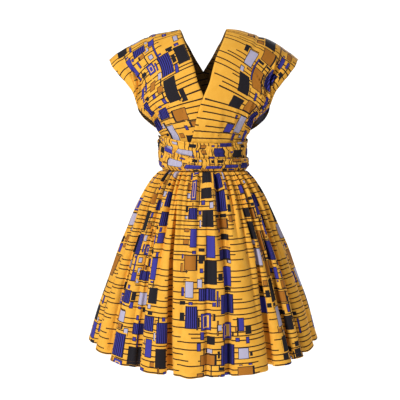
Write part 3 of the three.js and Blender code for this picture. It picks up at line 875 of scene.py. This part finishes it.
# Where the straps cross in front and behind: turn either side of the middle, height, spare room.
CROSSINGS = ((34, 215, 0.6), (75, 300, 1.6))
STRAP_STITCH_COLUMNS = (1, 2)  # the grid's columns, from its edges, that a strap is stitched along
STRAP_CLOTH_WIDTH = 260
STRAP_CLOTH_PLACE = {1: 909, -1: 357}  # the middle of each strap across the printed cloth
WRAP_CLOTH_SHOWN = 84  # of that width, what the bunched cloth of a wrap shows
WRAP_BUNCHED = 0.35  # the extra length of cloth that a wrap's puckers take up
WRAP_WARP = Table(across=2.2, along=50, shift=4)  # how the bunched cloth shifts along itself
WRAP_RUCHES = Table(over=(4.6, 2.2), under=(3.6, 1.6))  # depth of the puckers, height of the roll
WRAP_SWAY = Table(across=1.8, along=55)
WRAP_ROLLS = Table(count=1.7, length=110, sway=0.15, sharpness=0.6)
WRAP_EDGE = Table(least=0.01, fullness=0.5)  # how the wraps' relief fades to their edges
HEM_ROLL = Table(across=0.06, spread=0.05, height=2.2)  # along a wrap's upper edge
# How far relief may go where cloths lie close, and how much further it may where they part.
WRAP_ROOM = Table(under=1.6, over=-0.5, foot=1.0, free=9, grown=0.3)
WRAP_TUCK = Table(reach=16, depth=4.6, flattens=0.1)  # how the lowest wrap turns in at the seam
STRAP_FOOT_LEVELS = (95, 125)  # where the wraps cover the front of the straps, and where no more
OVER_WRAP_EDGE = (1, 8)  # from the upper edge of the wrap that lies over, to where it's passed
BEFORE_THE_WRAP = 120  # the height that stands for that edge ahead of its table
KNOT_SEAT = Table(turn=22, height=34, room=12, sharpness=6)  # where the wraps lie flat
# A wrap's puckers: creases across it, uneven in place, length and slant.
PUCKERS = Table(
    pitch=6.5, play=0.5, spread=(1.8, 3.4), reach=(0.16, 0.5), slant=16,
    size=(0.35, 1), deepest=1.3, spreads_drawn=8,
)


def strap_rows(wrap):
    rows = list(STRAP_FOOT)
    for table, is_back in ((STRAP_FRONT, False), (STRAP_BACK, True)):
        for inner_x, inner_height, outer_x, outer_height in table:
            inner = place_on_form(inner_x, inner_height, is_back)
            rows.append((*inner, *place_on_form(outer_x, outer_height, is_back)))
    top = 2 * SHOULDER_TOP
    for inner_turn, inner_height, outer_turn, outer_height in STRAP_TO_WAIST + wrap:
        rows.append((inner_turn, top - inner_height, outer_turn, top - outer_height))
    return np.array(rows, float)


def strap_places(rows, along, across):
    number = np.arange(len(rows))
    columns = (curve_at(number, column, along) for column in rows.T)
    inner_turn, inner_rise, outer_turn, outer_rise = columns
    return blend(inner_turn, outer_turn, across), blend(inner_rise, outer_rise, across)


def strap_folds(along, across):
    depth = 0
    for middle, spread, size, start, end in STRAP_FOLDS:
        arch = np.sin(np.pi * share_between(along, start, end)) ** 2
        depth = depth - size * bell((across - middle) / spread) * arch
    return depth


def strap_creases(along, across):
    """Troughs with a soft ridge on their inner side, which run slantwise along a strap."""
    depth = 0
    for start, start_across, end, end_across, spread, size in STRAP_CREASES:
        through = share_between(along, start, end)
        aside = (across - start_across - (end_across - start_across) * through) / spread
        ridge = np.exp(-((aside + CREASE_RIDGE.place) ** 2) / CREASE_RIDGE.spread)
        shape = CREASE_RIDGE.height * ridge - bell(aside)
        depth = depth + size * shape * np.sin(np.pi * through) ** CREASE_FULLNESS
    return depth


def uneven(kind, across, length, seed):
    """Smooth noise over a strap, with so many features across it and each so long."""
    return soft_noise(across * kind.across, length / kind.along, seed)


def bunching(points, across, sway, height):
    """Folds along a strap that stand up as it narrows."""
    width = np.linalg.norm(points[:, -1] - points[:, 0], axis=-1)[:, None]
    narrow = smoothstep(width, BUNCHING.flat_width, BUNCHING.full_width)
    place = BUNCHING.folds * across + BUNCHING.sway * sway
    return height * narrow * ridges(place, BUNCHING.sharpness)


def keep_clear(relief, turn, rise, is_over):
    """Relief held back where one strap lies on the other, so that neither cuts through."""
    is_behind, level = side_and_level(rise)
    for is_back, (reach, top, room) in enumerate(CROSSINGS):
        there = (np.abs(turn) < reach) & (level < top) & (is_behind == bool(is_back))
        held = np.maximum(relief, -room) if is_over else np.minimum(relief, room)
        relief = np.where(there, held, relief)
    return relief


def keep_wraps_clear(relief, turn, rise, wrapped, is_over):
    """Relief held back at the waist, where the wraps lie on each other, on the straps and knot."""
    is_behind, level = side_and_level(rise)
    foot = np.where(is_behind, 0, 1 - smoothstep(level, *STRAP_FOOT_LEVELS))
    under_wraps = np.minimum(relief, WRAP_ROOM.foot + WRAP_ROOM.free * (1 - foot))
    relief = np.where(foot > 0, under_wraps, relief)
    if is_over:
        tuck = WRAP_TUCK.depth * (1 - smoothstep(level, 0, WRAP_TUCK.reach))
        held = np.maximum(relief * (1 - WRAP_TUCK.flattens * tuck), WRAP_ROOM.over) - tuck
    else:
        edge_turn, edge_height = np.array(WRAP_OVER)[::-1, :2].T
        top = np.interp(-turn - 360, edge_turn, edge_height, right=BEFORE_THE_WRAP)
        free = smoothstep(level, top + OVER_WRAP_EDGE[0], top + OVER_WRAP_EDGE[1])
        held = np.minimum(relief, WRAP_ROOM.under + WRAP_ROOM.free * free)
    is_wrap = np.where(is_behind, smoothstep(wrapped, 0, WRAP_ROOM.grown), 0)
    relief = blend(relief, held, is_wrap)
    aside = np.abs((turn + 180) % 360 - 180) / KNOT_SEAT.turn
    above = (level - KNOT.level) / KNOT_SEAT.height
    seat = np.exp(-(aside ** KNOT_SEAT.sharpness) - above ** KNOT_SEAT.sharpness)
    return np.where(is_behind, np.minimum(relief, KNOT_SEAT.room * (1 - seat)), relief)


def wrap_puckers(across, length, start, seed):
    """Short creases across a wrap from a length on, from 0 to about 1 deep."""
    rng = np.random.default_rng(seed)
    end = length[-1, 0]
    depth = np.zeros(across.shape)
    for middle in np.arange(start, end, PUCKERS.pitch):
        middle = middle + rng.uniform(-PUCKERS.play, PUCKERS.play) * PUCKERS.pitch
        spread = rng.uniform(*PUCKERS.spread)
        reach = rng.uniform(*PUCKERS.reach)
        centre = rng.uniform(0, 1)
        slant = PUCKERS.slant * rng.uniform(-1, 1)
        size = rng.uniform(*PUCKERS.size)
        near = np.abs(length[:, 0] - middle) < PUCKERS.spreads_drawn * spread + 2 * PUCKERS.slant
        aside = (length[near] - middle - slant * (across[near] - centre)) / spread
        depth[near] += size * bell((across[near] - centre) / reach) * trough(aside)
    return np.minimum(depth, PUCKERS.deepest)


def even_rows(rows, first, last, count):
    """Places along a strap between two rows of its table, at even steps of its middle."""
    fine = np.linspace(first, last, STRAP_STEPS)
    length = lengths_along(form_points(*strap_places(rows, fine, np.full_like(fine, 0.5))), 0)
    return np.interp(np.linspace(0, length[-1], count), length, fine)


def strap_grid(rows, waist_row, side):
    """Places across and along a strap. A right strap's columns run the other way."""
    free_rows = even_rows(rows, 0, waist_row, STRAP_ROWS)
    wrap_rows = even_rows(rows, waist_row, len(rows) - 1, WRAP_ROWS)
    across = np.interp(np.linspace(0, 1, STRAP_COLUMNS), *STRAP_SPACING)
    return np.meshgrid(across[::side], np.concatenate([free_rows[:-1], wrap_rows]))


def strap_relief(side, base, across, along, rise, length, wrapped, sway, seed):
    """The folds, creases, pleats and bunching of a strap's free cloth."""
    foot = 1 - smoothstep(along, *STRAP_PLEATS.rows)
    pleats = foot * STRAP_PLEATS.depth * waves(across * STRAP_PLEATS.count, seed + 2)
    drape = STRAP_DRAPE.height * uneven(STRAP_DRAPE, across, length, seed + 3)
    drape = drape * (1 - wrapped) * (1 - foot)
    free = strap_folds(along, across) + strap_creases(along, across) * (1 - wrapped) + pleats + drape
    behind = smoothstep(rise, SHOULDER_TOP, SHOULDER_TOP + BUNCHING_RISE)
    return free + bunching(base, across, sway, BUNCHING_HEIGHT[side]) * behind * (1 - wrapped)


def wrap_relief(ruches, across, length, wrapped, sway, seed):
    """The puckers, the rolls and the rolled edge of the cloth that is wound round the waist."""
    pucker, roll = ruches
    start = length[wrapped[:, 0] > 0][0, 0]
    ruche = pucker * (1 - wrap_puckers(across, length, start, seed + 1))
    place = across * WRAP_ROLLS.count + length / WRAP_ROLLS.length + WRAP_ROLLS.sway * sway
    rolls = roll * ridges(place, WRAP_ROLLS.sharpness)
    hem_roll = HEM_ROLL.height * bell((across - HEM_ROLL.across) / HEM_ROLL.spread)
    inside = np.clip(across, WRAP_EDGE.least, 1 - WRAP_EDGE.least)
    return np.sin(np.pi * inside) ** WRAP_EDGE.fullness * (ruche + rolls) + hem_roll


def strap_cloth(side, across, length, wrapped, seed):
    """Each point's place on the printed cloth, in metres. A wrap shows a strip of it, bunched."""
    shown = blend(STRAP_CLOTH_WIDTH, WRAP_CLOTH_SHOWN, wrapped)
    bunched = np.cumsum(np.diff(length, axis=0, prepend=0) * wrapped * WRAP_BUNCHED, axis=0)
    warp = WRAP_WARP.shift * wrapped * uneven(WRAP_WARP, across, length, seed + 4)
    cloth_across = (across - 0.5) * shown + STRAP_CLOTH_PLACE[side]
    return np.stack([cloth_across, length + bunched + warp], axis=-1) * MM


def make_strap(side, wrap, ruches, lifts, seed, materials, thread):
    """One strap from the waistband over the shoulder, across the back and round the waist."""
    rows = strap_rows(wrap)
    waist_row = len(rows) - len(wrap)
    across, along = strap_grid(rows, waist_row, side)
    turn, rise = strap_places(rows, along, across)
    base = form_points(side * turn, rise)
    length = lengths_along(base[:, np.abs(across[0] - 0.5).argmin()], 0)[:, None]
    wrapped = smoothstep(along, *(waist_row + row for row in WRAP_STARTS))
    end = 1 - smoothstep(along, *(len(rows) + row for row in WRAP_ENDS))
    sway = uneven(WRAP_SWAY, across, length, seed)
    relief = strap_relief(side, base, across, along, rise, length, wrapped, sway, seed)
    relief = keep_clear(relief, turn, rise, side > 0)
    relief = relief + wrapped * end * wrap_relief(ruches, across, length, wrapped, sway, seed)
    relief = keep_wraps_clear(relief, turn, rise, wrapped, side > 0)
    out = blend(*lifts, smoothstep(rise, *LIFT_CHANGE)) + WALL + relief
    points = base + form_normals(side * turn, rise) * out[..., None]
    cloth = strap_cloth(side, across, length, wrapped, seed)
    word = "left" if side > 0 else "right"
    piece = cloth_piece(f"strap_and_wrap_{word}", points, cloth, materials)
    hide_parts(f"strap_{word}", f"wrap_{word}")
    up = grid_normals(points)
    first, last = STRAP_STITCH_COLUMNS[::side]
    seams = [(points[:, i], up[:, i]) for i in (first, -1 - last)]
    stitching(f"strap_{word}_edge_stitches", seams, thread)
    return piece


# --- waistband

WAISTBAND_GRID = (30, 480)
WAISTBAND_HEIGHT = 60
RIPPLES = Table(count=62, depth=2.0, sway=0.8, sway_height=9)
ELASTIC = Table(channel=15, flattest=0.35)  # the height between its seams, and the ripples there
BAND_CLOTH = Table(round=2.28, place=2.0)


def make_waistband(materials):
    rows, columns = WAISTBAND_GRID
    height = np.linspace(0, WAISTBAND_HEIGHT, rows)
    turn, height = np.meshgrid(np.arange(columns) * 360 / columns, height)
    sway = RIPPLES.sway * np.sin(height / RIPPLES.sway_height)
    ripple = 0.5 + 0.5 * np.sin(np.radians(turn) * RIPPLES.count + sway)
    full = np.abs(np.sin(np.pi * height / ELASTIC.channel)) ** 0.5
    relief = RIPPLES.depth * ripple * blend(ELASTIC.flattest, 1, full)
    normals = form_normals(turn, height)
    points = form_points(turn, height) + normals * (WALL + relief)[..., None]
    cloth_round = turn / 360 * BAND_CLOTH.round
    cloth = np.stack([cloth_round, height * MM + BAND_CLOTH.place], axis=-1)
    piece = cloth_piece("waistband_casing", points, cloth, materials, around=True)
    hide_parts("waistband")
    return piece


# --- knot and tails

KNOT_GRID = (60, 96)
KNOT_POLES = (175, 5)  # degrees from its top, where its grid starts and ends
KNOT_FOLDS = Table(slant=0.45, sway=0.18, sway_count=3, count=2.6, depth=0.11)
KNOT_CREASES = Table(up=9, across=4, depth=0.03)
KNOT_WAIST = Table(depth=0.1, reach=0.35)  # how the knot narrows at its middle
KNOT_LEAST_THICK = 0.88  # of its thickness, between its folds
KNOT_CLOTH = Table(round=0.3, tall=0.05, place=(1.4, 0.3))
TAIL_GRID = (90, 40)
TAIL_OVER_SKIRT = 2.6  # how far the skirt's gathers stand out under a tail
TAIL_WIDENS = 2.5  # how soon a tail has its whole width: 1 is at its end
TAIL_FOLD = Table(top=4.6, end=2.2, count=1.6, drift=0.2)  # depths, and the folds' places
TAIL_CLOTH = Table(width=0.09, length=0.215, place=1.9, apart=0.2)


def knot_seat():
    """How far behind the middle the knot's seat on the wraps lies."""
    behind = form_points(np.array(0.0), np.array(2.0 * SHOULDER_TOP - KNOT.level))[1]
    return behind + LIFT.left[1] + WALL + SEAM_GAP


def knot_folds(x, z):
    """Slanting folds and finer creases over the knot, as shares of its thickness."""
    lean = x + KNOT_FOLDS.slant * z + KNOT_FOLDS.sway * np.sin(KNOT_FOLDS.sway_count * z)
    creases = KNOT_CREASES.depth * np.sin(KNOT_CREASES.up * z + KNOT_CREASES.across * x)
    return KNOT_FOLDS.depth * np.abs(np.sin(KNOT_FOLDS.count * np.pi * lean)) + creases


def make_knot(materials):
    rows, columns = KNOT_GRID
    turn, polar = np.meshgrid(np.arange(columns) * 360 / columns, np.linspace(*KNOT_POLES, rows))
    x = sine(polar) * sine(turn)
    y = -sine(polar) * cosine(turn)
    z = cosine(polar)
    waist = 1 - KNOT_WAIST.depth * bell(z / KNOT_WAIST.reach)
    thick = np.where(y > 0, KNOT.thick * (KNOT_LEAST_THICK + knot_folds(x, z)), KNOT.seat)
    points = np.stack([x * KNOT.width * waist, y * thick, z * KNOT.height], axis=-1)
    points += np.array([0, knot_seat() + KNOT.seat, KNOT.level])
    cloth_round, cloth_up = turn / 360 * KNOT_CLOTH.round, z * KNOT_CLOTH.tall
    cloth = np.stack([cloth_round, cloth_up], axis=-1) + KNOT_CLOTH.place
    piece = cloth_piece("knot_cloth", points, cloth, materials, around=True)
    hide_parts("knot")
    return piece


def tail_out(drop):
    fall = np.clip(drop / DROP_MIDDLE, 0, 1)
    skirt = crest_depth(180, curve_at(SKIRT_FALL, SKIRT_WIDTH, fall)) + TAIL_OVER_SKIRT
    return np.maximum(skirt + TAIL.clear, knot_seat() + TAIL.clear)


def make_tail(name, turns, number, materials):
    rows, columns = TAIL_GRID
    top = KNOT.level - KNOT.height + TAIL.tuck
    side = 1 if turns[0] > 0 else -1
    share, fall = np.meshgrid(np.linspace(0.5, -0.5, columns), np.linspace(1, 0, rows))
    width = blend(TAIL.width, TAIL.bottom_width, np.minimum(TAIL_WIDENS * fall, 1))
    height = top - fall * (TAIL.length + TAIL.slant * side * share)
    place = TAIL_FOLD.count * share + TAIL_FOLD.drift * fall
    ripple = 1 + np.sin(2 * np.pi * place + number)
    out = tail_out(-height) + blend(TAIL_FOLD.top, TAIL_FOLD.end, fall) * ripple
    turn = blend(*turns, fall)
    points = np.stack([out * sine(turn) + share * width, -out * cosine(turn), height], axis=-1)
    cloth_across = share * TAIL_CLOTH.width + TAIL_CLOTH.place + TAIL_CLOTH.apart * number
    cloth = np.stack([cloth_across, fall * TAIL_CLOTH.length], axis=-1)
    piece = cloth_piece(f"{name}_cloth", points, cloth, materials)
    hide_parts(name)
    return piece


# --- stage, light and camera

PHOTO_PIXELS = 400
MM_PER_PIXEL = 2.9
PHOTO_MIDDLE_X = 203.5  # the pixel column of the dress's middle
WAIST_PIXEL_Y = 170  # the pixel row of the waist seam
CAMERA_DISTANCE = 2800
CAMERA_HEIGHT = 120
SENSOR_WIDTH = 36
FARTHEST_SEEN = 60  # in metres
FLOOR_LEVEL = -1.02  # in metres, as are the lights
FLOOR_RADIUS = 1.5
FLOOR_SIDES = 96
FLOOR_LOOK = {
    "Base Color": (0.9, 0.9, 0.9),
    "Roughness": 0.95,
    "Emission Color": (1, 1, 1),
    "Emission Strength": 0.5,
}
AMBIENT, BACKDROP = 0.22, 1.0  # the white room's light on the dress, and its brightness to the eye
LIGHTS_AIM = (0, 0, -0.1)
# name, place, size, power
LIGHTS = (
    ("key", (-2.0, -2.6, 1.5), 0.8, 94),
    ("fill", (2.2, -2.4, 0.3), 1.8, 12),
    ("back", (1.6, 2.8, 1.5), 1.2, 70),
)


def make_camera():
    data = bpy.data.cameras.new("camera")
    data.sensor_width = SENSOR_WIDTH
    data.lens = SENSOR_WIDTH * CAMERA_DISTANCE / (PHOTO_PIXELS * MM_PER_PIXEL)
    data.clip_end = FARTHEST_SEEN
    camera = add_object("camera", data)
    middle_x = (PHOTO_PIXELS / 2 - PHOTO_MIDDLE_X) * MM_PER_PIXEL
    middle_z = (WAIST_PIXEL_Y - PHOTO_PIXELS / 2) * MM_PER_PIXEL
    camera.location = (middle_x * MM, -CAMERA_DISTANCE * MM, CAMERA_HEIGHT * MM)
    pitch = math.atan2(middle_z - CAMERA_HEIGHT, CAMERA_DISTANCE)
    camera.rotation_euler = (math.pi / 2 + pitch, 0, 0)
    bpy.context.scene.camera = camera


def add_light(name, place, size, power):
    data = bpy.data.lights.new(name, "AREA")
    data.size = size
    data.energy = power
    light = add_object(name, data)
    light.location = place
    aim = np.subtract(LIGHTS_AIM, place)
    yaw = math.atan2(aim[0], -aim[1])
    tilt = math.atan2(math.hypot(aim[0], aim[1]), -aim[2])
    light.rotation_euler = (tilt, 0, math.pi + yaw)


def make_stage():
    floor_material, _, shader = new_material("pale_floor")
    set_inputs(shader, FLOOR_LOOK)
    turns = np.linspace(0, 2 * np.pi, FLOOR_SIDES, endpoint=False)
    rim = [(FLOOR_RADIUS * math.cos(t), FLOOR_RADIUS * math.sin(t), FLOOR_LEVEL) for t in turns]
    floor = add_mesh("floor", rim, [tuple(range(len(rim)))], [floor_material])
    world = bpy.data.worlds.new("studio")
    world.use_nodes = True
    sky = NodeTools(world)
    seen = sky.add("LightPath", {}).outputs["Is Camera Ray"]
    strength = sky.add("MapRange", {"Value": seen, "To Min": AMBIENT, "To Max": BACKDROP})
    background = {"Color": (1, 1, 1), "Strength": strength.outputs[0]}
    set_inputs(sky.nodes["Background"], background)
    bpy.context.scene.world = world
    for light in LIGHTS:
        add_light(*light)


# --- the dress

make_camera()
make_stage()
bpy.context.scene.view_settings.view_transform = "Standard"
bpy.context.scene.view_settings.look = "Medium High Contrast"
right_side = cotton_print("cotton_right_side")
# The inner face gets the print darkened with painted shade, standing in for the shade inside the dress.
inner_face_painted_shade = cotton_print("cotton_inner_face_painted_shade", INNER_FACE_PAINTED_SHADE)
cotton = (right_side, inner_face_painted_shade)
thread = thread_material()
front = make_skirt_panel("skirt_front", *SIDE_SEAMS, 1, cotton, thread)
back = make_skirt_panel("skirt_back", SIDE_SEAMS[1], SIDE_SEAMS[0] + 360, 2, cotton, thread)
strap_left = make_strap(1, WRAP_OVER, WRAP_RUCHES.over, LIFT.left, 40, cotton, thread)
strap_right = make_strap(-1, WRAP_UNDER, WRAP_RUCHES.under, LIFT.right, 60, cotton, thread)
waistband = make_waistband(cotton)
knot = make_knot(cotton)
tails = [make_tail(name, turns, i, cotton) for i, (name, turns) in enumerate(TAILS.items())]
